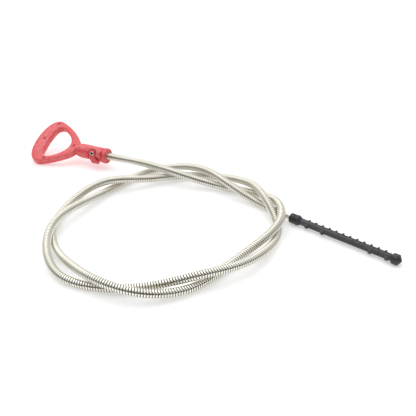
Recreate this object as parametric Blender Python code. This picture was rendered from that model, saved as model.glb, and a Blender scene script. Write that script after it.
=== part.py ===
"""Flexible fluid-level dipstick lying in a loose two-turn coil on a bench.

Blender 4.5, +Z up, the bench is z = 0. The rigid pieces are worked in millimetres in two local
frames, and the last step places and scales them to metres. In the handle's frame X runs along the
neck towards the shaft, with the mouth at the origin and the finger loop in XY. In the tip's frame
X runs along the tip, away from the shaft, with the socket's mouth at the origin.
"""
import math

import bmesh
import bpy
import numpy as np
from mathutils import Matrix, Vector

MM = 0.001

# ---- fits -----------------------------------------------------------------------------
GAP = 0.2            # between two moulded or pressed pieces
RUNNING = 0.3        # round the pivoting latch
PARTING = 0.2        # between the two handle shells

# ---- handle: finger loop --------------------------------------------------------------
LOOP_THICK = 5.5     # both shells together
LOOP_EDGE = 1.2      # rounding of the rim
LOOP_RISE = 0.9      # the loop's mid plane above the neck's axis
LOOP_CENTRE_X = -44.5
# half outlines, as (distance from the neck's mouth, half width)
LOOP_OUTER = ((62.6, 0.0), (62.1, 6.5), (60.6, 12.5), (57.4, 17.8), (52.6, 20.4), (47.0, 19.2),
              (41.2, 16.5), (36.0, 13.4), (31.3, 10.0), (27.5, 6.2), (25.8, 0.0))
LOOP_INNER = ((52.4, 0.0), (52.0, 7.4), (50.6, 12.4), (47.8, 14.2), (43.8, 13.2), (40.0, 10.9),
              (36.6, 7.8), (34.0, 4.0), (33.0, 0.0))
LOOP_STATIONS = 96

# ---- handle: neck ---------------------------------------------------------------------
NECK_R = 5.4
NECK_TAPER_FROM = 22.0
NECK_TAPER_TO = 29.5
NECK_TAPER_R = 3.9
SPIGOT_R = 4.3       # the neck's end inside the collar
COLLAR_LEN = 3.8
COLLAR_R = 5.75
COLLAR_NOTCHES = 3
NOTCH_DEEP = 1.2
NOTCH_WIDE = 5.0
SHELL_PINS = ((52.4, 16.9), (46.6, -16.9), (56.4, 0.7), (28.9, 0.0))
SHELL_PIN_R = 0.9
SHELL_PIN_SUNK = 0.45

# ---- latch ----------------------------------------------------------------------------
LATCH_TILT = 42.0    # degrees from the loop's normal to the pivot
PIVOT_X = -11.2
PIVOT_R = 1.5
PIVOT_HOLE_R = 0.85
PIVOT_HOLE_DEEP = 4.0
LATCH_LOW = 3.6      # underside of the latch, measured along the pivot
LATCH_THICK = 1.7
LATCH_HEAD_R = 3.0
LATCH_OUTLINE = ((-0.3, 5.2), (1.2, 6.9), (6.5, 6.9), (6.9, 5.1), (4.8, 4.3), (3.1, 2.6))

# ---- shaft ----------------------------------------------------------------------------
SHAFT_D = 5.5
SHAFT_POINTS = 80
SHAFT_IN_NECK = 7.0
# centre line from the neck's mouth to the tip, before SHIFT
ROUTE = ((-47, 46, 10.5), (-22, 33, 9.25), (4, 25, 4.5), (30.5, 15.5, 3), (46.25, -6, 8.5),
         (45.5, -33, 9.5), (28.5, -55.5, 6), (9, -75.5, 3), (-10.5, -95, 3.25), (-37, -103.5, 6.5),
         (-62, -96, 9.25), (-82, -75, 6.5), (-95.5, -51, 3), (-100, -24.5, 3), (-92, 2, 4.75),
         (-72, 20.5, 9.25), (-45.5, 30, 6.25), (-20, 40, 3.25), (8, 38, 3.5), (28.5, 21, 8),
         (38.75, -5, 10), (45, -30, 3.25), (37, -56.5, 4.75), (19, -78, 8), (-5.5, -90.5, 9.25),
         (-33, -95, 5), (-61, -93.5, 2.75), (-87, -83, 3.75), (-99, -58, 7.5), (-97.5, -30, 9.25),
         (-85, -5, 7), (-69.5, 19, 3.25), (-52, 39.5, 3), (-27, 51, 4.5), (-3, 37.5, 9.75),
         (15, 16.5, 9), (36, -0.5, 3.25))

# ---- measuring tip, along its own axis from the socket's mouth --------------------------
TIP_LENGTH = 80.0
FERRULE_R = 1.9
FERRULE_OUT = 4.6
FERRULE_IN = 2.4
COLLAR_TIP_LEN = 3.6
COLLAR_TIP_R = 3.3
BULB_R = 3.5
SOCKET_LEN = 7.6
SPIGOT_TIP_R = 1.4
SPIGOT_TIP_LEN = 2.0
STICK_WIDE = 4.4
STICK_HIGH = 3.9
STICK_EDGE = 0.9
KNOB_LEN = 6.3
KNOB_POINT = 2.1
TICKS = 12
TICK_FIRST = 13.5
TICK_PITCH = 5.0
TICK_LONG = 1.2
TICK_PROUD = 0.3
LUGS = (13.6, 25.4, 59.6, 71.0)
LUG_LONG = 2.0
LUG_PROUD = 0.9

# ---- how it lies ------------------------------------------------------------------------
SHIFT = Vector((8.5, -14.28, 0.0))
NECK_MOUTH_XY = (-74.2, 58.8)
HANDLE_HEADING = -25.0
HANDLE_ROLL = 24.0
TIP_XY = (54.8, -18.0)
TIP_HEADING = -39.2
SEGMENTS = 48


def clear_scene():
    for obj in list(bpy.data.objects):
        bpy.data.objects.remove(obj, do_unlink=True)


def material(name, color, roughness, metallic=0.0):
    mat = bpy.data.materials.new(name)
    mat.use_nodes = True
    shader = mat.node_tree.nodes["Principled BSDF"]
    shader.inputs["Base Color"].default_value = (*color, 1.0)
    shader.inputs["Roughness"].default_value = roughness
    shader.inputs["Metallic"].default_value = metallic
    return mat


def new_object(name, verts, faces, mat=None, matrix=None):
    """An object from points in millimetres, turned by the matrix within its local frame."""
    matrix = matrix or Matrix()
    mesh = bpy.data.meshes.new(name)
    mesh.from_pydata([matrix @ Vector(v) for v in verts], [], faces)
    bm = bmesh.new()
    bm.from_mesh(mesh)
    bmesh.ops.remove_doubles(bm, verts=bm.verts, dist=1e-4)
    bmesh.ops.triangulate(bm, faces=bm.faces[:])
    bmesh.ops.recalc_face_normals(bm, faces=bm.faces)
    bm.to_mesh(mesh)
    bm.free()
    obj = bpy.data.objects.new(name, mesh)
    bpy.context.scene.collection.objects.link(obj)
    if mat:
        mesh.materials.append(mat)
    return obj


def combine(obj, other, operation):
    """Applies one Boolean at once, so that the next one works on plain geometry."""
    mod = obj.modifiers.new(operation.lower(), "BOOLEAN")
    mod.operation, mod.object, mod.solver = operation, other, "EXACT"
    graph = bpy.context.evaluated_depsgraph_get()
    mesh = bpy.data.meshes.new_from_object(obj.evaluated_get(graph))
    obj.modifiers.remove(mod)
    obj.data = mesh
    bpy.data.objects.remove(other, do_unlink=True)
    return obj


def turned(name, profile, mat=None, matrix=None, segments=SEGMENTS):
    """Turns (x, radius) pairs about local X. A closed profile that keeps off the axis makes a ring."""
    verts, faces = [], []
    rows = len(profile)
    for step in range(segments):
        a = 2 * math.pi * step / segments
        verts += [(x, r * math.cos(a), r * math.sin(a)) for x, r in profile]
    for step in range(segments):
        here, there = step * rows, (step + 1) % segments * rows
        faces += [(here + k, here + (k + 1) % rows, there + (k + 1) % rows, there + k) for k in range(rows)]
    return new_object(name, verts, faces, mat, matrix)


def rod(name, x0, x1, radius, mat=None, matrix=None, chamfer=0.0, segments=SEGMENTS):
    profile = ((x0, 0.0), (x0, radius - chamfer), (x0 + chamfer, radius), (x1 - chamfer, radius),
               (x1, radius - chamfer), (x1, 0.0))
    return solid_turned(name, profile, mat, matrix, segments)


def solid_turned(name, profile, mat=None, matrix=None, segments=SEGMENTS):
    """Turns a profile whose first and last points lie on the axis."""
    inner = profile[1:-1]
    rows = len(inner)
    verts = [(profile[0][0], 0.0, 0.0), (profile[-1][0], 0.0, 0.0)]
    faces = []
    for step in range(segments):
        a = 2 * math.pi * step / segments
        verts += [(x, r * math.cos(a), r * math.sin(a)) for x, r in inner]
    for step in range(segments):
        here, there = 2 + step * rows, 2 + (step + 1) % segments * rows
        faces.append((0, here, there))
        faces += [(here + k, here + k + 1, there + k + 1, there + k) for k in range(rows - 1)]
        faces.append((here + rows - 1, 1, there + rows - 1))
    return new_object(name, verts, faces, mat, matrix)


def prism(name, outline, z0, z1, mat=None, matrix=None):
    n = len(outline)
    verts = [(x, y, z0) for x, y in outline] + [(x, y, z1) for x, y in outline]
    faces = [tuple(range(n))[::-1], tuple(range(n, 2 * n))]
    faces += [(k, (k + 1) % n, n + (k + 1) % n, n + k) for k in range(n)]
    return new_object(name, verts, faces, mat, matrix)


def box(name, low, high, mat=None, matrix=None):
    corners = ((low[0], low[1]), (high[0], low[1]), (high[0], high[1]), (low[0], high[1]))
    return prism(name, corners, low[2], high[2], mat, matrix)


def smooth_through(points, count, closed=False):
    """A cubic spline through the points, read at equal steps along it."""
    p = np.array(points, float)
    if closed:
        p = np.concatenate([p[-4:], p, p[:4]])
    t = np.concatenate([[0.0], np.cumsum(np.linalg.norm(np.diff(p, axis=0), axis=1))])
    n, h = len(p), np.diff(t)
    system, right = np.eye(n), np.zeros_like(p)
    for i in range(1, n - 1):
        system[i, i - 1:i + 2] = h[i - 1], 2 * (h[i - 1] + h[i]), h[i]
        right[i] = 6 * ((p[i + 1] - p[i]) / h[i] - (p[i] - p[i - 1]) / h[i - 1])
    bend = np.linalg.solve(system, right)
    start, end = (t[4], t[-4]) if closed else (t[0], t[-1])
    out = []
    for at in np.linspace(start, end, count, endpoint=not closed):
        i = int(min(np.searchsorted(t, at, side="right") - 1, n - 2))
        a, b = (t[i + 1] - at) / h[i], (at - t[i]) / h[i]
        out.append(a * p[i] + b * p[i + 1]
                   + ((a ** 3 - a) * bend[i] + (b ** 3 - b) * bend[i + 1]) * h[i] ** 2 / 6)
    return np.array(out)


def loop_radii(half_outline):
    """The outline's distance from the loop's centre at each station round it."""
    there = [(-x, y) for x, y in half_outline]
    back = [(-x, -y) for x, y in half_outline[-2:0:-1]]
    line = smooth_through(there + back, 400, closed=True)
    line[:, 0] -= LOOP_CENTRE_X
    angle = np.arctan2(line[:, 1], line[:, 0])
    order = np.argsort(angle)
    stations = np.linspace(-math.pi, math.pi, LOOP_STATIONS, endpoint=False)
    return stations, np.interp(stations, angle[order], np.hypot(*line[order].T), period=2 * math.pi)


def finger_loop(name, mat):
    """The loop at its full thickness, with a rounded rim inside and out."""
    stations, outer = loop_radii(LOOP_OUTER)
    _, inner = loop_radii(LOOP_INNER)
    e, h = LOOP_EDGE, LOOP_THICK / 2
    k = e * (1 - math.sqrt(0.5))
    up = ((1, 0, h - e), (1, -k, h - k), (1, -e, h), (0, e, h), (0, k, h - k), (0, 0, h - e))
    section = up + tuple((on_outer, shift, -z) for on_outer, shift, z in up[::-1])
    verts, faces = [], []
    rows = len(section)
    for a, r_out, r_in in zip(stations, outer, inner):
        for on_outer, shift, z in section:
            r = (r_out if on_outer else r_in) + shift
            verts.append((LOOP_CENTRE_X + r * math.cos(a), r * math.sin(a), LOOP_RISE + z))
    for step in range(LOOP_STATIONS):
        here, there = step * rows, (step + 1) % LOOP_STATIONS * rows
        faces += [(here + j, here + (j + 1) % rows, there + (j + 1) % rows, there + j) for j in range(rows)]
    return new_object(name, verts, faces, mat)


def latch_frame():
    """Origin on the neck's axis under the pivot, X along the neck, Z along the pivot, hook towards -Y."""
    tilt = Matrix.Rotation(math.radians(LATCH_TILT), 4, "X")
    return Matrix.Translation((PIVOT_X, 0, 0)) @ tilt


def along_pivot():
    """The same origin with X along the pivot, for turned pieces."""
    return latch_frame() @ Matrix.Rotation(math.radians(-90), 4, "Y")


def latch_outline(grow, hook):
    """Round head about the pivot, with the hook's corners joined to its lower side."""
    r = LATCH_HEAD_R + grow
    head = [(r * math.cos(a), -r * math.sin(a))
            for a in np.linspace(math.radians(35), math.radians(-200), 28)]
    return head + [(u, -w) for u, w in hook]


def neck(name):
    """The round neck, tapering to where it runs into the finger loop."""
    profile = ((0.0, 0.0), (0.0, SPIGOT_R), (-COLLAR_LEN, SPIGOT_R), (-COLLAR_LEN - 0.1, NECK_R - 0.4),
               (-COLLAR_LEN - 0.5, NECK_R), (-NECK_TAPER_FROM, NECK_R), (-NECK_TAPER_TO, NECK_TAPER_R),
               (-NECK_TAPER_TO - 0.8, NECK_TAPER_R - 1.2), (-NECK_TAPER_TO - 0.8, 0.0))
    return solid_turned(name, profile)


def latch_pocket(name):
    """The room the latch swings in."""
    hook = [(-LATCH_HEAD_R - RUNNING - 0.4, 3.0), (-LATCH_HEAD_R - RUNNING - 0.4, 12.0), (7.5, 12.0),
            (7.5, 4.2), (5.4, 3.2), (LATCH_HEAD_R + 2 * RUNNING, 1.6)]
    outline = latch_outline(2 * RUNNING, hook)
    return prism(name, outline, LATCH_LOW - RUNNING, 3 * NECK_R, matrix=latch_frame())


def handle_shell(name, side, mat):
    shell = combine(finger_loop(name, mat), neck(name + "_neck"), "UNION")
    near, far = LOOP_RISE + side * PARTING / 2, side * 20.0
    half = box("half", (-80, -40, min(near, far)), (20, 40, max(near, far)))
    combine(shell, half, "INTERSECT")
    bore_r = SHAFT_D / 2 + GAP
    combine(shell, rod("bore", -SHAFT_IN_NECK - GAP - 0.6, 5.0, bore_r), "DIFFERENCE")
    combine(shell, latch_pocket("pocket"), "DIFFERENCE")
    combine(shell, rod("pivot_hole", -20, 20, PIVOT_R + GAP, matrix=along_pivot()), "DIFFERENCE")
    for along, across in SHELL_PINS:
        combine(shell, pin_rod("pin_hole", along, across, SHELL_PIN_R + GAP, 9.0), "DIFFERENCE")
    return shell


def pin_rod(name, along, across, radius, half_length, mat=None, chamfer=0.0):
    stand = Matrix.Translation((-along, across, LOOP_RISE)) @ Matrix.Rotation(math.radians(-90), 4, "Y")
    return rod(name, -half_length, half_length, radius, mat, stand, chamfer, segments=20)


def end_collar(mat):
    r_in = SPIGOT_R + GAP
    x0, x1 = -COLLAR_LEN + GAP, 0.3
    profile = ((x0, r_in), (x0, COLLAR_R - 0.5), (x0 + 0.5, COLLAR_R), (x1 - 1.2, COLLAR_R),
               (x1 - 0.35, COLLAR_R - 0.35), (x1, COLLAR_R - 1.2), (x1, r_in))
    ring = turned("end_collar", profile, mat)
    for k in range(COLLAR_NOTCHES):
        turn = Matrix.Rotation(math.radians(LATCH_TILT + 4 + 360 * k / COLLAR_NOTCHES), 4, "X")
        low = (x0 - 1.0, -NOTCH_WIDE / 2, SPIGOT_R - 1.0)
        high = (x0 + NOTCH_DEEP, NOTCH_WIDE / 2, COLLAR_R + 1.0)
        combine(ring, box("notch", low, high, matrix=turn), "DIFFERENCE")
    return ring


def pivot_pin(mat):
    x0, x1 = -NECK_R + 0.7, LATCH_LOW + LATCH_THICK + 0.35
    floor = x1 - PIVOT_HOLE_DEEP
    profile = ((x0, 0.0), (x0, PIVOT_R - 0.2), (x0 + 0.2, PIVOT_R), (x1 - 0.2, PIVOT_R),
               (x1, PIVOT_R - 0.2), (x1, PIVOT_HOLE_R), (floor, PIVOT_HOLE_R), (floor, 0.0))
    return solid_turned("pivot_pin", profile, mat, along_pivot(), segments=32)


def latch(mat):
    outline = latch_outline(0.0, LATCH_OUTLINE)
    plate = prism("latch", outline, LATCH_LOW, LATCH_LOW + LATCH_THICK, mat, latch_frame())
    hole = rod("latch_hole", -20, 20, PIVOT_R + GAP, matrix=along_pivot())
    return combine(plate, hole, "DIFFERENCE")


def flex_shaft(handle, tip, mat):
    """The close-wound shaft as one plain tube along its centre line, made in metres at once."""
    inside = [handle @ Vector((-SHAFT_IN_NECK, 0, 0)), handle @ Vector((0, 0, 0))]
    end = tip @ Vector((-FERRULE_OUT - GAP, 0, 0))
    route = [Vector(p) + SHIFT for p in ROUTE]
    points = smooth_through([tuple(p) for p in inside + route + [end]], SHAFT_POINTS)
    curve = bpy.data.curves.new("flex_shaft", "CURVE")
    curve.dimensions = "3D"
    curve.bevel_depth = SHAFT_D / 2 * MM
    curve.bevel_resolution = 3
    curve.use_fill_caps = True
    spline = curve.splines.new("POLY")
    spline.points.add(len(points) - 1)
    for knot, (x, y, z) in zip(spline.points, points):
        knot.co = (x * MM, y * MM, max(z, SHAFT_D / 2 + 0.05) * MM, 1.0)
    obj = bpy.data.objects.new("flex_shaft", curve)
    bpy.context.scene.collection.objects.link(obj)
    curve.materials.append(mat)
    return obj


def tip_ferrule(mat):
    x0, x1 = -FERRULE_OUT, FERRULE_IN
    r = FERRULE_R
    profile = ((x0, 0.0), (x0, r - 0.2), (x0 + 0.2, r), (-2.9, r), (-2.6, r - 0.35), (-1.9, r - 0.35),
               (-1.6, r), (x1 - 0.2, r), (x1, r - 0.2), (x1, 0.0))
    return solid_turned("tip_ferrule", profile, mat)


def tip_socket(mat):
    """Short collar and rounded bulb, bored from both ends for the ferrule and the stick."""
    a = COLLAR_TIP_LEN
    profile = ((0.0, 0.0), (0.0, COLLAR_TIP_R - 0.3), (0.3, COLLAR_TIP_R), (a - 0.5, COLLAR_TIP_R),
               (a, COLLAR_TIP_R - 0.4), (a + 0.6, BULB_R - 0.15), (a + 1.3, BULB_R), (SOCKET_LEN - 1.6, BULB_R),
               (SOCKET_LEN - 0.6, BULB_R - 0.5), (SOCKET_LEN, BULB_R - 1.2), (SOCKET_LEN, 0.0))
    body = solid_turned("tip_socket", profile, mat)
    combine(body, rod("b1", -2.0, FERRULE_IN + GAP, FERRULE_R + GAP), "DIFFERENCE")
    far = SOCKET_LEN - SPIGOT_TIP_LEN - GAP
    return combine(body, rod("b2", far, SOCKET_LEN + 2.0, SPIGOT_TIP_R + GAP), "DIFFERENCE")


def stick_section():
    w, h, e = STICK_WIDE / 2, STICK_HIGH / 2, STICK_EDGE
    return ((-w + e, -h), (w - e, -h), (w, -h + e), (w, h - e), (w - e, h), (-w + e, h), (-w, h - e), (-w, -h + e))


def gauge_stick(mat):
    """Graduated bar: small teeth along its upper far edge, larger lugs in pairs on the near edge."""
    lengthwise = Matrix(((0, 0, 1, 0), (1, 0, 0, 0), (0, 1, 0, 0), (0, 0, 0, 1)))
    x0, x1 = SOCKET_LEN + GAP, TIP_LENGTH - KNOB_LEN - GAP
    bar = prism("gauge_stick", stick_section(), x0, x1, mat, lengthwise)
    combine(bar, rod("s1", x0 - SPIGOT_TIP_LEN, x0 + 1.0, SPIGOT_TIP_R), "UNION")
    combine(bar, rod("s2", x1 - 1.0, x1 + SPIGOT_TIP_LEN, SPIGOT_TIP_R), "UNION")
    w, h = STICK_WIDE / 2, STICK_HIGH / 2
    for k in range(TICKS):
        at = TICK_FIRST + k * TICK_PITCH
        low = (at - TICK_LONG / 2, w - 1.5, h - 1.6)
        high = (at + TICK_LONG / 2, w + 0.1, h + TICK_PROUD)
        combine(bar, box("tick", low, high), "UNION")
    for at in LUGS:
        low = (at - LUG_LONG / 2, -w - LUG_PROUD, -h + 0.35)
        high = (at + LUG_LONG / 2, -w + 1.3, h - 0.8)
        combine(bar, box("lug", low, high), "UNION")
    return bar


def end_knob(mat):
    x0, x1 = TIP_LENGTH - KNOB_LEN, TIP_LENGTH
    shoulder = x1 - KNOB_POINT
    profile = ((x0, 0.0), (x0, BULB_R - 0.7), (x0 + 0.7, BULB_R), (shoulder, BULB_R), (x1 - 0.3, 0.9),
               (x1, 0.4), (x1, 0.0))
    body = solid_turned("end_knob", profile, mat, segments=40)
    far = x0 + SPIGOT_TIP_LEN + GAP
    return combine(body, rod("b3", x0 - 2.0, far, SPIGOT_TIP_R + GAP), "DIFFERENCE")


def handle_frame():
    """Where the neck's mouth is: the loop's lower edge just touches the bench."""
    roll = math.radians(HANDLE_ROLL)
    half_width = max(y for _, y in LOOP_OUTER)
    thick = LOOP_THICK / 2
    drop = ((half_width - LOOP_EDGE) * math.sin(roll) + (thick - LOOP_EDGE) * math.cos(roll)
            + LOOP_EDGE - LOOP_RISE * math.cos(roll))
    mouth = Vector((*NECK_MOUTH_XY, drop)) + SHIFT
    return (Matrix.Translation(mouth) @ Matrix.Rotation(math.radians(HANDLE_HEADING), 4, "Z")
            @ Matrix.Rotation(roll, 4, "X"))


def tip_frame():
    mouth = Vector((*TIP_XY, BULB_R)) + SHIFT
    return Matrix.Translation(mouth) @ Matrix.Rotation(math.radians(TIP_HEADING), 4, "Z")


def place(pieces, frame):
    """Moves finished pieces from their local frame into the part's, and scales them to metres."""
    for obj in pieces:
        obj.data.transform(Matrix.Scale(MM, 4) @ frame)


def main():
    clear_scene()
    red = material("red_plastic", (0.62, 0.07, 0.08), 0.42)
    dark_red = material("red_plastic_latch", (0.56, 0.06, 0.07), 0.45)
    collar_red = material("red_plastic_collar", (0.60, 0.06, 0.07), 0.38)
    steel = material("spring_steel", (0.72, 0.70, 0.62), 0.28, 1.0)
    pin_steel = material("pin_steel", (0.78, 0.78, 0.76), 0.3, 1.0)
    ferrule_metal = material("ferrule_metal", (0.70, 0.68, 0.60), 0.32, 1.0)
    black = material("black_plastic", (0.03, 0.03, 0.032), 0.4)
    held = [handle_shell("handle_shell_upper", 1, red), handle_shell("handle_shell_lower", -1, red),
            end_collar(collar_red), pivot_pin(pin_steel), latch(dark_red)]
    for number, (along, across) in enumerate(SHELL_PINS, 1):
        half = LOOP_THICK / 2 - SHELL_PIN_SUNK
        held.append(pin_rod(f"shell_pin_{number}", along, across, SHELL_PIN_R, half, dark_red, 0.2))
    dipped = [tip_ferrule(ferrule_metal), tip_socket(black), gauge_stick(black), end_knob(black)]
    handle, tip = handle_frame(), tip_frame()
    place(held, handle)
    place(dipped, tip)
    flex_shaft(handle, tip, steel)


main()
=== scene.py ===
# %% [markdown]
# # A flexible dipstick in a loose coil
#
# The object is a fluid-level dipstick on a long spring shaft. A red finger-loop handle sits at one
# end, a black graduated tip at the other, and the shaft between them lies in two loose turns on a
# bench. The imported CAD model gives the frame: every size and place below is read from it or repeats
# it, and this script adds the looks, which are the wound wire, the rounded edges and the materials.

# %% Load the frame
import math

import bmesh
import bpy
import numpy as np
from mathutils import Matrix, Vector


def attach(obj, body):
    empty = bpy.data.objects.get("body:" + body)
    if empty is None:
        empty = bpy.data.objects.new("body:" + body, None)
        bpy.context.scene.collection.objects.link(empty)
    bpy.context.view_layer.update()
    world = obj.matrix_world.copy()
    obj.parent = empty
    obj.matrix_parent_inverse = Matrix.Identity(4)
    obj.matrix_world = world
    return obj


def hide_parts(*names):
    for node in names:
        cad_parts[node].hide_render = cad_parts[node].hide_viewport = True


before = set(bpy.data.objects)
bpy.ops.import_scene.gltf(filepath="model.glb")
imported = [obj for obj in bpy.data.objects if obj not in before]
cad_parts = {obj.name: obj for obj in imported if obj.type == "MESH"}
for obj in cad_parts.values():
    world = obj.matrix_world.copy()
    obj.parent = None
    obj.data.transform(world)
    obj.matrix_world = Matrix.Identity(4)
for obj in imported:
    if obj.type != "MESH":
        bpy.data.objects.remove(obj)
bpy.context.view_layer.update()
MM = 0.001

# %% [markdown]
# ## Camera
#
# The tool is seen from the front and about 31 degrees above the bench, from a little over half a
# metre away. A lens of 65 mm on a 36 mm sensor frames the whole coil with plenty of room round it.
# The camera looks at a point on the bench near the middle of the coil, so it is placed by going
# back from that point along the line of sight.

# %% Camera
AIM = Vector((8.5, -14.28, 0.0)) * MM
VIEW_ELEVATION = math.radians(31.0)
VIEW_DISTANCE = 512.0 * MM
SENSOR_WIDTH = 36.0
LENS = 64.8


def add_camera():
    """A camera without depth of field, looking along +Y and down."""
    data = bpy.data.cameras.new("camera")
    data.sensor_width = SENSOR_WIDTH
    data.lens = LENS
    data.dof.use_dof = False
    data.clip_start = 0.01
    camera = bpy.data.objects.new("camera", data)
    back = Vector((0.0, -math.cos(VIEW_ELEVATION), math.sin(VIEW_ELEVATION)))
    camera.location = AIM + back * VIEW_DISTANCE
    camera.rotation_euler = (math.pi / 2 - VIEW_ELEVATION, 0.0, 0.0)
    bpy.context.scene.collection.objects.link(camera)
    bpy.context.scene.camera = camera
    return camera


camera = add_camera()
print("camera at", [round(v, 4) for v in camera.location])

# %% [markdown]
# ## The route of the shaft
#
# A close-wound spring is springy and keeps its bends wide. It leaves the neck straight, runs across
# the back, and lies down in two turns that pass over and under each other like loosely laid rope.
# The route is the list of points that the CAD tube follows. They were not set by hand: a helper
# program, which is not part of this work, moved them until no two strands touched, and they were
# then rounded to a quarter of a millimetre. A natural cubic spline joins them: it has no corners and
# no sudden change of bend, as in the real shaft. It is read at short equal steps, so that the wire
# can be wound along it evenly.

# %% Route
SHIFT = Vector((8.5, -14.28, 0.0))
SHAFT_D = 5.5
NECK_MOUTH = Vector((-74.2, 58.8, 9.603)) + SHIFT
HANDLE_TURN = Matrix.Rotation(math.radians(-25.0), 4, "Z") @ Matrix.Rotation(math.radians(24.0), 4, "X")
TIP_MOUTH = Vector((54.8, -18.0, 3.5)) + SHIFT
TIP_TURN = Matrix.Rotation(math.radians(-39.2), 4, "Z")
SHAFT_IN_NECK = 7.0
FERRULE_OUT = 4.8
LINE_POINTS = 900
BENCH_CLEARANCE = 0.05
ROUTE = ((-47, 46, 10.5), (-22, 33, 9.25), (4, 25, 4.5), (30.5, 15.5, 3), (46.25, -6, 8.5),
         (45.5, -33, 9.5), (28.5, -55.5, 6), (9, -75.5, 3), (-10.5, -95, 3.25), (-37, -103.5, 6.5),
         (-62, -96, 9.25), (-82, -75, 6.5), (-95.5, -51, 3), (-100, -24.5, 3), (-92, 2, 4.75),
         (-72, 20.5, 9.25), (-45.5, 30, 6.25), (-20, 40, 3.25), (8, 38, 3.5), (28.5, 21, 8),
         (38.75, -5, 10), (45, -30, 3.25), (37, -56.5, 4.75), (19, -78, 8), (-5.5, -90.5, 9.25),
         (-33, -95, 5), (-61, -93.5, 2.75), (-87, -83, 3.75), (-99, -58, 7.5), (-97.5, -30, 9.25),
         (-85, -5, 7), (-69.5, 19, 3.25), (-52, 39.5, 3), (-27, 51, 4.5), (-3, 37.5, 9.75),
         (15, 16.5, 9), (36, -0.5, 3.25))

handle_place = Matrix.Translation(NECK_MOUTH) @ HANDLE_TURN
tip_place = Matrix.Translation(TIP_MOUTH) @ TIP_TURN


def smooth_through(points, count):
    """A natural cubic spline through the points, read at equal steps along their polyline."""
    p = np.array(points, float)
    t = np.concatenate([[0.0], np.cumsum(np.linalg.norm(np.diff(p, axis=0), axis=1))])
    n, h = len(p), np.diff(t)
    system, right = np.eye(n), np.zeros_like(p)
    for i in range(1, n - 1):
        system[i, i - 1:i + 2] = h[i - 1], 2 * (h[i - 1] + h[i]), h[i]
        right[i] = 6 * ((p[i + 1] - p[i]) / h[i] - (p[i] - p[i - 1]) / h[i - 1])
    bend = np.linalg.solve(system, right)
    out = []
    for at in np.linspace(0.0, t[-1], count):
        i = int(min(np.searchsorted(t, at, side="right") - 1, n - 2))
        a, b = (t[i + 1] - at) / h[i], (at - t[i]) / h[i]
        out.append(a * p[i] + b * p[i + 1]
                   + ((a ** 3 - a) * bend[i] + (b ** 3 - b) * bend[i + 1]) * h[i] ** 2 / 6)
    return np.array(out)


def shaft_line():
    """The shaft's centre line in millimetres, from inside the neck to the tip's ferrule."""
    inside = [handle_place @ Vector((-SHAFT_IN_NECK, 0, 0)), handle_place @ Vector((0, 0, 0))]
    end = tip_place @ Vector((-FERRULE_OUT, 0, 0))
    route = [Vector(p) + SHIFT for p in ROUTE]
    line = smooth_through([tuple(p) for p in inside + route + [end]], LINE_POINTS)
    line[:, 2] = np.maximum(line[:, 2], SHAFT_D / 2 + BENCH_CLEARANCE)
    return line


line = shaft_line()

# %% [markdown]
# ## Winding the wire
#
# The shaft is one round wire wound so closely that each turn touches the last. What the eye sees is
# a tube whose skin is a long screw thread with round crests. A swept wire would need hundreds of
# thousands of faces, most of them hidden inside, so Geometry Nodes make the skin only: a circle is
# swept along the line, and every point is then moved in or out by where it stands along the line
# and round it. Both positions are stored as attributes before the sweep, so the thread follows every
# bend. The depth is kept as a last attribute, `groove`, which the steel's material reads to paint a
# shade into the valley between two turns.

# %% Helpers for node trees
def wire(tree, *pairs):
    """Links (output socket, input socket) pairs."""
    for out_socket, in_socket in pairs:
        tree.links.new(out_socket, in_socket)


def maths(tree, operation, first, second=None, third=None):
    """A Math node whose inputs are sockets or numbers, returned as its output."""
    node = tree.nodes.new("ShaderNodeMath")
    node.operation = operation
    for index, value in enumerate((first, second, third)):
        if isinstance(value, (int, float)):
            node.inputs[index].default_value = value
        elif value is not None:
            tree.links.new(value, node.inputs[index])
    return node.outputs[0]


def vector_maths(tree, operation, first, second=None, scale=None):
    node = tree.nodes.new("ShaderNodeVectorMath")
    node.operation = operation
    tree.links.new(first, node.inputs[0])
    if second is not None:
        tree.links.new(second, node.inputs[1])
    if scale is not None:
        tree.links.new(scale, node.inputs["Scale"])
    return node.outputs[0]


def stored(tree, geometry, name, value, kind="FLOAT"):
    """Stores a field on the points and passes the geometry on."""
    node = tree.nodes.new("GeometryNodeStoreNamedAttribute")
    node.data_type, node.domain = kind, "POINT"
    node.inputs["Name"].default_value = name
    wire(tree, (geometry, node.inputs["Geometry"]), (value, node.inputs["Value"]))
    return node.outputs["Geometry"]


def named(tree, name, kind="FLOAT"):
    node = tree.nodes.new("GeometryNodeInputNamedAttribute")
    node.data_type = kind
    node.inputs["Name"].default_value = name
    return node.outputs["Attribute"]


def new_geometry_tree(name, inputs):
    """A tree with a geometry in and out, and (name, socket type, default) inputs."""
    tree = bpy.data.node_groups.new(name, "GeometryNodeTree")
    tree.interface.new_socket("Geometry", in_out="INPUT", socket_type="NodeSocketGeometry")
    tree.interface.new_socket("Geometry", in_out="OUTPUT", socket_type="NodeSocketGeometry")
    for label, kind, default in inputs:
        socket = tree.interface.new_socket(label, in_out="INPUT", socket_type=kind)
        if default is not None:
            socket.default_value = default
    return tree, tree.nodes.new("NodeGroupInput"), tree.nodes.new("NodeGroupOutput")


def run_tree(obj, tree, values):
    """Puts the tree on the object with these inputs, and returns the plain mesh that it makes."""
    modifier = obj.modifiers.new(tree.name, "NODES")
    modifier.node_group = tree
    for item in tree.interface.items_tree:
        if item.item_type == "SOCKET" and item.in_out == "INPUT" and item.name in values:
            modifier[item.identifier] = values[item.name]
    graph = bpy.context.evaluated_depsgraph_get()
    mesh = bpy.data.meshes.new_from_object(obj.evaluated_get(graph))
    obj.modifiers.remove(modifier)
    return mesh


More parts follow.
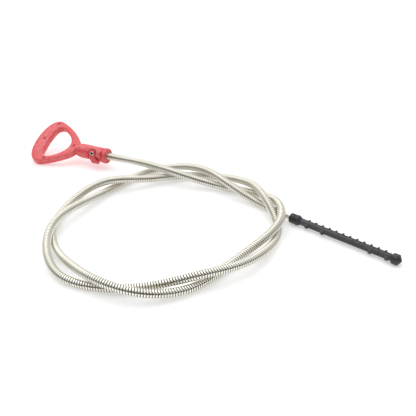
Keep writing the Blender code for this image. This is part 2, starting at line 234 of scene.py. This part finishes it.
# %% The tree that winds the shaft
def winding_tree():
    sizes = (("Outer radius", "NodeSocketFloat", 0.0024), ("Wire radius", "NodeSocketFloat", 0.0008),
             ("Pitch", "NodeSocketFloat", 0.0016), ("Steps per turn", "NodeSocketInt", 8),
             ("Sides", "NodeSocketInt", 16), ("Finish", "NodeSocketMaterial", None))
    tree, given, result = new_geometry_tree("wound_wire", sizes)
    new = tree.nodes.new

    even = new("GeometryNodeResampleCurve")
    even.mode = "LENGTH"
    step = maths(tree, "DIVIDE", given.outputs["Pitch"], given.outputs["Steps per turn"])
    wire(tree, (given.outputs["Geometry"], even.inputs["Curve"]), (step, even.inputs["Length"]))
    parameter = new("GeometryNodeSplineParameter")
    place = new("GeometryNodeInputPosition")
    rail = stored(tree, even.outputs["Curve"], "along", parameter.outputs["Length"])
    rail = stored(tree, rail, "centre", place.outputs["Position"], "FLOAT_VECTOR")

    ring = new("GeometryNodeCurvePrimitiveCircle")
    wire(tree, (given.outputs["Sides"], ring.inputs["Resolution"]),
         (given.outputs["Outer radius"], ring.inputs["Radius"]))
    round_it = new("GeometryNodeSplineParameter")
    profile = stored(tree, ring.outputs["Curve"], "round", round_it.outputs["Factor"])

    sweep = new("GeometryNodeCurveToMesh")
    sweep.inputs["Fill Caps"].default_value = True
    wire(tree, (rail, sweep.inputs["Curve"]), (profile, sweep.inputs["Profile Curve"]))

    # how far each point is from its turn's crest, from -1/2 to 1/2 of the pitch
    turns = maths(tree, "DIVIDE", named(tree, "along"), given.outputs["Pitch"])
    phase = maths(tree, "FRACT", maths(tree, "SUBTRACT", turns, named(tree, "round")))
    off = maths(tree, "MULTIPLY", maths(tree, "SUBTRACT", phase, 0.5), given.outputs["Pitch"])
    off = maths(tree, "MULTIPLY", off, 0.92)
    inside = maths(tree, "SUBTRACT", maths(tree, "POWER", given.outputs["Wire radius"], 2.0),
                   maths(tree, "MULTIPLY", off, off))
    height = maths(tree, "SQRT", maths(tree, "MAXIMUM", inside, 0.0))
    sunk = maths(tree, "SUBTRACT", given.outputs["Wire radius"], height)

    outward = vector_maths(tree, "NORMALIZE", vector_maths(
        tree, "SUBTRACT", new("GeometryNodeInputPosition").outputs[0], named(tree, "centre", "FLOAT_VECTOR")))
    shift = vector_maths(tree, "SCALE", outward, scale=maths(tree, "MULTIPLY", sunk, -1.0))
    thread = new("GeometryNodeSetPosition")
    wire(tree, (sweep.outputs["Mesh"], thread.inputs["Geometry"]), (shift, thread.inputs["Offset"]))
    depth = maths(tree, "DIVIDE", sunk, given.outputs["Wire radius"])
    marked = stored(tree, thread.outputs["Geometry"], "groove", depth)

    smooth = new("GeometryNodeSetShadeSmooth")
    whole = new("GeometryNodeRealizeInstances")
    finish = new("GeometryNodeSetMaterial")
    wire(tree, (marked, smooth.inputs["Geometry"]), (smooth.outputs[0], whole.inputs["Geometry"]),
         (whole.outputs[0], finish.inputs["Geometry"]), (given.outputs["Finish"], finish.inputs["Material"]),
         (finish.outputs[0], result.inputs["Geometry"]))
    return tree


# %% [markdown]
# ## Shader groups shared by the materials
#
# Three effects are used by more than one finish, so each is a node group. `moulding_grain` is the
# fine uneven skin of a moulded plastic: a small bump and a slow drift of colour. `wear` lightens
# what hands and drawers rub. `handling_marks` is the faint cloud of fingerprints and oil that makes
# a gloss uneven. They put out only colours, masks and normals, and the shader stays outside.

# %% Shader helpers
def new_shader_group(name, inputs, outputs):
    tree = bpy.data.node_groups.new(name, "ShaderNodeTree")
    for label, kind, default in inputs:
        socket = tree.interface.new_socket(label, in_out="INPUT", socket_type=kind)
        if default is not None:
            socket.default_value = default
    for label, kind in outputs:
        tree.interface.new_socket(label, in_out="OUTPUT", socket_type=kind)
    return tree, tree.nodes.new("NodeGroupInput"), tree.nodes.new("NodeGroupOutput")


def noise(tree, scale, detail=3.0, roughness=0.55):
    """Noise over the piece's own coordinates, in metres."""
    place = tree.nodes.new("ShaderNodeTexCoord")
    node = tree.nodes.new("ShaderNodeTexNoise")
    node.inputs["Detail"].default_value = detail
    node.inputs["Roughness"].default_value = roughness
    if isinstance(scale, (int, float)):
        node.inputs["Scale"].default_value = scale
    else:
        tree.links.new(scale, node.inputs["Scale"])
    tree.links.new(place.outputs["Object"], node.inputs["Vector"])
    return node.outputs["Fac"]


def spread(tree, value, low, high, to_low=0.0, to_high=1.0):
    node = tree.nodes.new("ShaderNodeMapRange")
    node.inputs["From Min"].default_value = low
    node.inputs["From Max"].default_value = high
    node.inputs["To Min"].default_value = to_low
    node.inputs["To Max"].default_value = to_high
    tree.links.new(value, node.inputs["Value"])
    return node.outputs["Result"]


def mixed(tree, factor, first, second):
    """A colour mix whose three inputs are sockets or constants."""
    node = tree.nodes.new("ShaderNodeMix")
    node.data_type = "RGBA"
    for socket, value in ((node.inputs[0], factor), (node.inputs[6], first), (node.inputs[7], second)):
        if hasattr(value, "links"):
            tree.links.new(value, socket)
        else:
            socket.default_value = value
    return node.outputs[2]


# %% Shader groups
def moulding_grain_group():
    """Uneven skin of moulded plastic."""
    tree, given, result = new_shader_group(
        "moulding_grain",
        (("Color", "NodeSocketColor", (0.5, 0.5, 0.5, 1.0)), ("Drift Color", "NodeSocketColor", None),
         ("Grain Scale", "NodeSocketFloat", 1800.0), ("Grain Height", "NodeSocketFloat", 0.00002),
         ("Roughness", "NodeSocketFloat", 0.4)),
        (("Color", "NodeSocketColor"), ("Roughness", "NodeSocketFloat"), ("Normal", "NodeSocketVector")))
    drift = spread(tree, noise(tree, 70.0, 4.0), 0.35, 0.7)
    wire(tree, (mixed(tree, drift, given.outputs["Color"], given.outputs["Drift Color"]),
                result.inputs["Color"]))
    uneven = spread(tree, noise(tree, 240.0, 3.0), 0.3, 0.7, -0.07, 0.09)
    wire(tree, (maths(tree, "ADD", given.outputs["Roughness"], uneven), result.inputs["Roughness"]))
    fine = noise(tree, given.outputs["Grain Scale"], 2.0)
    slow = noise(tree, 160.0, 2.0)
    bump = tree.nodes.new("ShaderNodeBump")
    bump.inputs["Strength"].default_value = 0.35
    wire(tree, (maths(tree, "MULTIPLY_ADD", fine, 0.4, slow), bump.inputs["Height"]),
         (given.outputs["Grain Height"], bump.inputs["Distance"]),
         (bump.outputs["Normal"], result.inputs["Normal"]))
    return tree


def wear_group():
    """Lightens convex edges, where the piece is rubbed."""
    tree, given, result = new_shader_group(
        "wear",
        (("Color", "NodeSocketColor", (0.5, 0.5, 0.5, 1.0)), ("Worn Color", "NodeSocketColor", None),
         ("Amount", "NodeSocketFloat", 0.5)),
        (("Color", "NodeSocketColor"), ("Mask", "NodeSocketFloat")))
    shape = tree.nodes.new("ShaderNodeNewGeometry")
    edge = spread(tree, shape.outputs["Pointiness"], 0.515, 0.56)
    patchy = spread(tree, noise(tree, 420.0, 5.0, 0.7), 0.4, 0.62)
    mask = maths(tree, "MULTIPLY", maths(tree, "MULTIPLY", edge, patchy), given.outputs["Amount"])
    wire(tree, (mixed(tree, mask, given.outputs["Color"], given.outputs["Worn Color"]),
                result.inputs["Color"]), (mask, result.inputs["Mask"]))
    return tree


def handling_marks_group():
    """Clouds of oil and fingerprints, as a change of roughness."""
    tree, given, result = new_shader_group(
        "handling_marks",
        (("Roughness", "NodeSocketFloat", 0.3), ("Amount", "NodeSocketFloat", 0.1)),
        (("Roughness", "NodeSocketFloat"), ("Mask", "NodeSocketFloat")))
    cloud = spread(tree, noise(tree, 55.0, 5.0, 0.6), 0.42, 0.62)
    wire(tree, (maths(tree, "MULTIPLY_ADD", cloud, given.outputs["Amount"], given.outputs["Roughness"]),
                result.inputs["Roughness"]), (cloud, result.inputs["Mask"]))
    return tree


GRAIN, WEAR, MARKS = moulding_grain_group(), wear_group(), handling_marks_group()


def placed(tree, group, **values):
    """A group node in a material, with its inputs set to sockets or constants."""
    node = tree.nodes.new("ShaderNodeGroup")
    node.node_tree = group
    for label, value in values.items():
        socket = node.inputs[label.replace("_", " ")]
        if hasattr(value, "links"):
            tree.links.new(value, socket)
        else:
            socket.default_value = value
    return node.outputs


def new_material(name, metallic=0.0):
    material = bpy.data.materials.new(name)
    material.use_nodes = True
    shader = material.node_tree.nodes["Principled BSDF"]
    shader.inputs["Metallic"].default_value = metallic
    return material, material.node_tree, shader


def rgb(r, g, b):
    return (r, g, b, 1.0)


# %% [markdown]
# ## Spring steel
#
# The wire is bright drawn steel with a warm cast. The crests are smooth and mirror the room, so the
# base colour is light and the roughness low. The `groove` attribute mixes towards a brown-black where
# two turns meet, a painted shade in the valley between turns, and makes it dull there.
# Drawing leaves very fine scratches along the wire, which a small bump stands for.

# %% Spring steel
def spring_steel():
    material, tree, shader = new_material("spring_steel", 1.0)
    attribute = tree.nodes.new("ShaderNodeAttribute")
    attribute.attribute_name = "groove"
    depth = attribute.outputs["Fac"]
    # painted shade: the valley between two turns goes towards brown-black, and is made duller
    valley = spread(tree, depth, 0.1, 0.38)
    tone = mixed(tree, spread(tree, noise(tree, 45.0, 4.0), 0.35, 0.68),
                 rgb(0.93, 0.91, 0.82), rgb(0.86, 0.835, 0.73))
    color = mixed(tree, valley, tone, rgb(0.085, 0.07, 0.05))
    marks = placed(tree, MARKS, Roughness=0.1, Amount=0.08)
    dull = maths(tree, "MULTIPLY_ADD", valley, 0.4, marks["Roughness"])
    bump = tree.nodes.new("ShaderNodeBump")
    bump.inputs["Strength"].default_value = 0.2
    bump.inputs["Distance"].default_value = 0.00001
    wire(tree, (color, shader.inputs["Base Color"]), (dull, shader.inputs["Roughness"]),
         (noise(tree, 3200.0, 2.0), bump.inputs["Height"]),
         (bump.outputs["Normal"], shader.inputs["Normal"]))
    return material


steel = spring_steel()

# %% [markdown]
# ## The shaft
#
# The line becomes a poly curve, the tree winds the wire along it, and the result is a plain mesh
# that stands for the CAD tube.

# %% Wind the shaft
WIRE_PITCH = 1.6
WIRE_R = 0.8
STEPS_PER_TURN = 8
SHAFT_SIDES = 16


def wound_shaft(points):
    curve = bpy.data.curves.new("shaft_line", "CURVE")
    curve.dimensions = "3D"
    spline = curve.splines.new("POLY")
    spline.points.add(len(points) - 1)
    for knot, point in zip(spline.points, points):
        knot.co = (*(point * MM), 1.0)
    guide = bpy.data.objects.new("shaft_line", curve)
    bpy.context.scene.collection.objects.link(guide)
    sizes = {"Outer radius": SHAFT_D / 2 * MM, "Wire radius": WIRE_R * MM, "Pitch": WIRE_PITCH * MM,
             "Steps per turn": STEPS_PER_TURN, "Sides": SHAFT_SIDES, "Finish": steel}
    mesh = run_tree(guide, winding_tree(), sizes)
    bpy.data.objects.remove(guide)
    mesh.name = "wound_shaft"
    obj = bpy.data.objects.new("wound_shaft", mesh)
    bpy.context.scene.collection.objects.link(obj)
    return obj


shaft = wound_shaft(line)
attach(shaft, "dipstick")
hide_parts("flex_shaft")

# %% [markdown]
# ## Plastic finishes
#
# The handle is satin red plastic: light falls on it softly, broad faces look pale where they mirror
# the room, and recesses go deep red. The latch, collar and pins are the same plastic from other
# moulds, a shade darker. The tip is black plastic that has been wiped with oil many times.

# %% Plastic materials
def moulded_plastic(name, color, drift, worn, roughness, grain_height=0.00002, wear=0.5):
    material, tree, shader = new_material(name)
    grain = placed(tree, GRAIN, Color=color, Drift_Color=drift, Roughness=roughness,
                   Grain_Height=grain_height)
    rubbed = placed(tree, WEAR, Color=grain["Color"], Worn_Color=worn, Amount=wear)
    marks = placed(tree, MARKS, Roughness=grain["Roughness"], Amount=0.06)
    wire(tree, (rubbed["Color"], shader.inputs["Base Color"]),
         (marks["Roughness"], shader.inputs["Roughness"]), (grain["Normal"], shader.inputs["Normal"]))
    return material, shader


def red_plastic(name, darker=1.0):
    color = rgb(0.82 * darker, 0.06 * darker, 0.075 * darker)
    drift = rgb(0.77 * darker, 0.05 * darker, 0.062 * darker)
    material, shader = moulded_plastic(name, color, drift, rgb(0.85, 0.3, 0.3), 0.38)
    shader.inputs["Specular IOR Level"].default_value = 0.85
    shader.inputs["Subsurface Weight"].default_value = 0.12
    shader.inputs["Subsurface Radius"].default_value = (0.003, 0.0008, 0.0006)
    shader.inputs["Subsurface Scale"].default_value = 1.0
    return material


def black_plastic():
    material, shader = moulded_plastic("gauge_plastic", rgb(0.021, 0.021, 0.023), rgb(0.03, 0.03, 0.032),
                                       rgb(0.1, 0.1, 0.1), 0.42, 0.00004, 0.6)
    shader.inputs["Specular IOR Level"].default_value = 0.5
    return material


handle_red = red_plastic("handle_plastic")
latch_red = red_plastic("latch_plastic", 0.93)
collar_red = red_plastic("collar_plastic", 0.97)
pin_red = red_plastic("pin_plastic", 0.8)
gauge_black = black_plastic()

# %% [markdown]
# ## Turned metal
#
# The pivot pin and the ferrule behind the tip are turned from bar. They are bright, with an uneven
# roughness and a small bump that breaks up the reflection. The attribute `bore` marks the inside of
# the pin's blind hole, which gets a painted shade of near black; the ferrule has no such attribute,
# so it stays bright.

# %% Turned metal
# painted shade: near black for the inside of the pin's blind hole
BORE_PAINTED_SHADE = rgb(0.006, 0.006, 0.006)


def turned_metal(name, bright, dull, roughness):
    material, tree, shader = new_material(name, 1.0)
    tone = mixed(tree, spread(tree, noise(tree, 380.0, 4.0), 0.35, 0.7), bright, dull)
    rubbed = placed(tree, WEAR, Color=tone, Worn_Color=rgb(0.95, 0.94, 0.9), Amount=0.6)
    marks = placed(tree, MARKS, Roughness=roughness, Amount=0.1)
    inside = tree.nodes.new("ShaderNodeAttribute")
    inside.attribute_name = "bore"
    # painted shade: points marked `bore` take the near black colour
    color = mixed(tree, inside.outputs["Fac"], rubbed["Color"], BORE_PAINTED_SHADE)
    bump = tree.nodes.new("ShaderNodeBump")
    bump.inputs["Strength"].default_value = 0.25
    bump.inputs["Distance"].default_value = 0.00001
    wire(tree, (color, shader.inputs["Base Color"]),
         (marks["Roughness"], shader.inputs["Roughness"]), (noise(tree, 2600.0), bump.inputs["Height"]),
         (bump.outputs["Normal"], shader.inputs["Normal"]))
    return material


pivot_metal = turned_metal("pivot_steel", rgb(0.9, 0.9, 0.88), rgb(0.8, 0.8, 0.78), 0.24)
ferrule_metal = turned_metal("ferrule_metal", rgb(0.80, 0.77, 0.66), rgb(0.66, 0.62, 0.5), 0.26)

# %% [markdown]
# ## Rounded copies of the moulded pieces
#
# A moulded piece has no sharp edges. Each CAD node is copied, its loose triangles are merged and its
# flat faces cleared of inner edges, and a narrow Bevel rounds every corner that is sharper than a
# limit. Shading is smooth except across what stays sharp. The copy then stands for its node.

# %% Rounded copies
PIVOT_HOLE_R = 0.85
MERGE_DISTANCE = 0.002
FLAT_ANGLE = math.radians(0.6)
BEVEL_ANGLE = math.radians(32.0)
BEVEL_SEGMENTS = 2
SHARP_ANGLE = math.radians(40.0)
BORE_TOLERANCE = 0.02


def merged_copy(node_name, piece_name):
    """The CAD node's surface as one connected mesh with its flat faces whole."""
    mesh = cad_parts[node_name].data.copy()
    mesh.name = piece_name
    mesh.materials.clear()
    bm = bmesh.new()
    bm.from_mesh(mesh)
    bmesh.ops.remove_doubles(bm, verts=bm.verts, dist=MERGE_DISTANCE * MM)
    bmesh.ops.dissolve_limit(bm, angle_limit=FLAT_ANGLE, verts=bm.verts, edges=bm.edges)
    bm.to_mesh(mesh)
    bm.free()
    if "custom_normal" in mesh.attributes:
        mesh.attributes.remove(mesh.attributes["custom_normal"])
    obj = bpy.data.objects.new(piece_name, mesh)
    bpy.context.scene.collection.objects.link(obj)
    return obj


def rounded(node_name, piece_name, material, body, bevel):
    """A softened copy that stands for the CAD node. The bevel is in millimetres."""
    obj = merged_copy(node_name, piece_name)
    obj.data.materials.append(material)
    soften = obj.modifiers.new("soften", "BEVEL")
    soften.width = bevel * MM
    soften.segments = BEVEL_SEGMENTS
    soften.limit_method = "ANGLE"
    soften.angle_limit = BEVEL_ANGLE
    soften.use_clamp_overlap = True
    soften.miter_outer = "MITER_ARC"
    graph = bpy.context.evaluated_depsgraph_get()
    mesh = bpy.data.meshes.new_from_object(obj.evaluated_get(graph))
    obj.modifiers.clear()
    obj.data = mesh
    mesh.name = piece_name
    mesh.shade_smooth()
    mesh.set_sharp_from_angle(angle=SHARP_ANGLE)
    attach(obj, body)
    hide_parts(node_name)
    return obj


def mark_bore(pin):
    """Marks the points inside the pin's hole, by how far they are from the pin's own axis."""
    mesh = pin.data
    places = np.array([v.co for v in mesh.vertices])
    places -= places.mean(axis=0)
    axis = np.linalg.svd(places, full_matrices=False)[2][0]
    radius = np.linalg.norm(places - np.outer(places @ axis, axis), axis=1)
    inside = mesh.attributes.new("bore", "FLOAT", "POINT")
    inside.data.foreach_set("value", (radius < (PIVOT_HOLE_R + BORE_TOLERANCE) * MM).astype(np.float32))


for half in ("upper", "lower"):
    rounded(f"handle_shell_{half}", f"handle_half_{half}", handle_red, "dipstick", 0.12)
rounded("end_collar", "neck_collar", collar_red, "dipstick", 0.15)
rounded("latch", "side_latch", latch_red, "latch", 0.22)
mark_bore(rounded("pivot_pin", "hollow_pivot", pivot_metal, "dipstick", 0.08))
for number in range(1, 5):
    rounded(f"shell_pin_{number}", f"loop_pin_{number}", pin_red, "dipstick", 0.06)
rounded("tip_ferrule", "shaft_ferrule", ferrule_metal, "dipstick", 0.06)
rounded("tip_socket", "gauge_socket", gauge_black, "dipstick", 0.12)
rounded("gauge_stick", "gauge_bar", gauge_black, "dipstick", 0.16)
rounded("end_knob", "gauge_knob", gauge_black, "dipstick", 0.1)

# %% [markdown]
# ## Bench and light
#
# The tool lies on a plain white bench in a white light tent, with one big soft panel overhead and a
# little behind. The tent is open towards the front, and the room beyond it is dark up to about half
# way to overhead. The steel mirrors that opening as a dark line between the tent above and the white
# bench below, which is what makes it look like metal. The tent is also dimmer just over the horizon.
# The bench glows a little, which keeps it white and the shadows soft.

# %% Bench
BENCH_SIZE = 60.0
BENCH_DROP = 0.0001
BENCH_COLOR = (0.75, 0.75, 0.75, 1.0)
BENCH_GLOW = 0.4


def add_bench():
    mesh = bpy.data.meshes.new("bench")
    s = BENCH_SIZE / 2
    mesh.from_pydata([(-s, -s, 0), (s, -s, 0), (s, s, 0), (-s, s, 0)], [], [(0, 1, 2, 3)])
    obj = bpy.data.objects.new("bench", mesh)
    bpy.context.scene.collection.objects.link(obj)
    material, _, shader = new_material("bench_white")
    shader.inputs["Base Color"].default_value = BENCH_COLOR
    shader.inputs["Roughness"].default_value = 0.9
    shader.inputs["Specular IOR Level"].default_value = 0.1
    shader.inputs["Emission Color"].default_value = (1.0, 1.0, 1.0, 1.0)
    shader.inputs["Emission Strength"].default_value = BENCH_GLOW
    mesh.materials.append(material)
    obj.location.z = -BENCH_DROP


add_bench()


# %% Light
# heights and sides are parts of a unit direction; shares are parts of the tent's full brightness
HORIZON_TOP, HORIZON_SHARE = 0.1, 0.3
OPENING_TOP, OPENING_SIDE = (0.5, 0.72), (-0.5, -0.12)
OPENING_SHARE = 0.01
TENT_STRENGTH = 0.95
PANEL_SIZE = (1.6, 1.2)
PANEL_WATTS = 6.0
PANEL_PLACE = (-0.25, 0.35, 1.15)


def add_panel(name, size, power, location):
    data = bpy.data.lights.new(name, "AREA")
    data.shape = "RECTANGLE"
    data.size, data.size_y = size
    data.energy = power
    lamp = bpy.data.objects.new(name, data)
    lamp.location = location
    lamp.rotation_euler = (AIM - Vector(location)).to_track_quat("-Z", "Y").to_euler()
    bpy.context.scene.collection.objects.link(lamp)


def add_tent(strength):
    """A white light tent that is dimmer at the horizon and open, so dark, towards the front."""
    world = bpy.data.worlds.new("studio")
    world.use_nodes = True
    tree = world.node_tree
    ground = tree.nodes["Background"]
    ground.inputs["Color"].default_value = (1.0, 1.0, 1.0, 1.0)
    way = tree.nodes.new("ShaderNodeTexCoord").outputs["Generated"]
    split = tree.nodes.new("ShaderNodeSeparateXYZ")
    tree.links.new(way, split.inputs["Vector"])
    horizon = spread(tree, split.outputs["Z"], 0.0, HORIZON_TOP, HORIZON_SHARE, 1.0)
    above = spread(tree, split.outputs["Z"], *OPENING_TOP, OPENING_SHARE, 1.0)
    beside = spread(tree, split.outputs["Y"], *OPENING_SIDE, OPENING_SHARE, 1.0)
    opening = maths(tree, "MAXIMUM", above, beside)
    light = maths(tree, "MULTIPLY", maths(tree, "MULTIPLY", horizon, opening), strength)
    tree.links.new(light, ground.inputs["Strength"])
    bpy.context.scene.world = world


add_panel("overhead", PANEL_SIZE, PANEL_WATTS, PANEL_PLACE)
add_tent(TENT_STRENGTH)
bpy.context.scene.view_settings.view_transform = "Standard"
